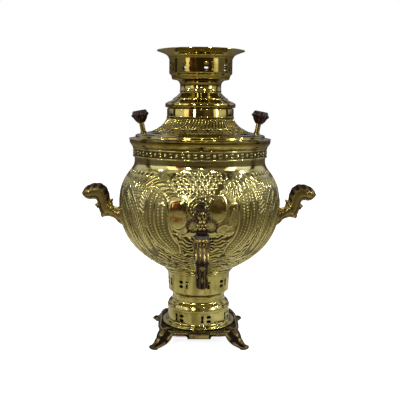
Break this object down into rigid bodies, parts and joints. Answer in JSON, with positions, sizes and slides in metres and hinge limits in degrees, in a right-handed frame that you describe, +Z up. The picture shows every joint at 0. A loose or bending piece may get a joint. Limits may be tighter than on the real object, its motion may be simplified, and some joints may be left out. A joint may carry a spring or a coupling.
{
  "type": "samovar",
  "caption": "Charcoal samovar: brass bulb body on a pierced pedestal and leaf feet, scroll handles, plug tap with trefoil key, ring lid and flared crown.",
  "frame": {"origin": "on the turned axis of the samovar, on the plane its four feet stand on", "axes": "+Z up along the turned axis; -Y towards the tap; +X towards the right handle seen from the tap"},
  "size_m": [0.3514, 0.295, 0.4281],
  "materials": {
    "crown_brass": "polished spun brass",
    "lid_brass": "polished spun brass",
    "body_brass": "polished brass with chased ornament",
    "pedestal_brass": "polished spun brass",
    "cast_bronze": "darkened cast brass, worn bright on its edges",
    "tap_bronze": "cast and filed brass, semi polished",
    "plug_metal": "turned pale brass",
    "sooted_brass": "heat-dulled brass",
    "fastener_brass": "turned brass",
    "knob": "dark red-brown moulded knob, polished",
    "iron": "cast iron, rough",
    "seal": "matt fibre and rubber washer",
    "steel": "plain steel screw"
  },
  "bodies": {
    "crown": {"crown_rim": "crown_brass", "crown_gallery": "crown_brass", "crown_neck": "crown_brass", "crown_skirt": "crown_brass"},
    "lid": {"lid_cover": "lid_brass", "lid_rim": "lid_brass", "lid_knob_left": "knob", "lid_knob_right": "knob", "knob_stem_left": "lid_brass", "knob_stem_right": "lid_brass", "knob_washers": "fastener_brass", "knob_nuts": "fastener_brass"},
    "key": {"tap_plug": "plug_metal", "tap_key": "tap_bronze", "plug_washer": "fastener_brass", "plug_nut": "fastener_brass"},
    "samovar": {"body_shell": "body_brass", "collar_band": "body_brass", "body_foot_ring": "pedestal_brass", "fire_tube": "sooted_brass", "grate": "iron", "handle_left": "cast_bronze", "handle_right": "cast_bronze", "handle_washers": "fastener_brass", "handle_nuts": "fastener_brass", "tap_backplate": "cast_bronze", "tap_body": "tap_bronze", "tap_saddle": "fastener_brass", "tap_seal": "seal", "tap_locknut": "fastener_brass", "upper_gallery": "pedestal_brass", "pedestal_waist": "pedestal_brass", "lower_gallery": "pedestal_brass", "base_ring": "pedestal_brass", "ash_plate": "sooted_brass", "base_frame": "cast_bronze", "foot_front_left": "cast_bronze", "foot_front_right": "cast_bronze", "foot_back_left": "cast_bronze", "foot_back_right": "cast_bronze", "foot_screws": "steel", "base_screws": "steel"}
  },
  "joints": [
    {"name": "lid_lift", "type": "slide", "parent": "samovar", "child": "lid", "axis": [0, 0, 1], "range_m": [0, 0.12]},
    {"name": "crown_lift", "type": "slide", "parent": "lid", "child": "crown", "axis": [0, 0, 1], "range_m": [0, 0.08]},
    {"name": "tap_turn", "type": "hinge", "parent": "samovar", "child": "key", "pos_m": [0, -0.146, 0.165], "axis": [0, 0, 1], "continuous": true}
  ]
}
